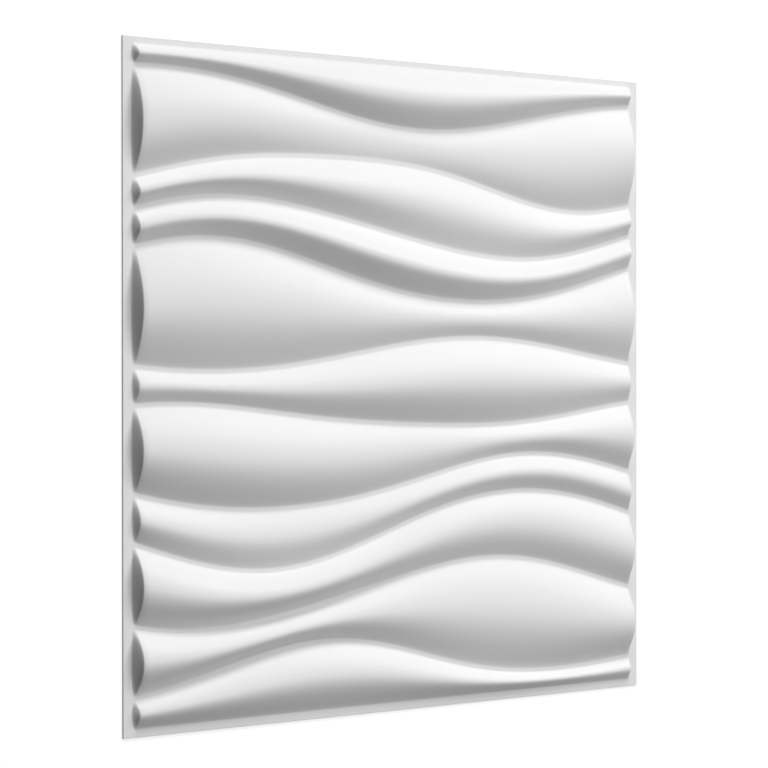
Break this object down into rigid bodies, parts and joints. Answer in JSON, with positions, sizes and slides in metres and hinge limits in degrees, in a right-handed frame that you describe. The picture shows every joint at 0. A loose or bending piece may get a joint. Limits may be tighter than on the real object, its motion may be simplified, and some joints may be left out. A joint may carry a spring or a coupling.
{
  "type": "wall panel tile",
  "caption": "Square moulded wall panel tile with a relief of flowing wave ridges, a flat border and a hollow back, for covering walls.",
  "frame": {"origin": "centre of the square, on the plane of the flat back", "axes": "+Z out of the wave face, +X along the ridges, +Y up the panel as it is hung"},
  "size_m": [0.5, 0.5, 0.0129],
  "materials": {
    "panel_white": "satin"
  },
  "bodies": {
    "root": {"wave_panel": "panel_white"}
  },
  "joints": []
}
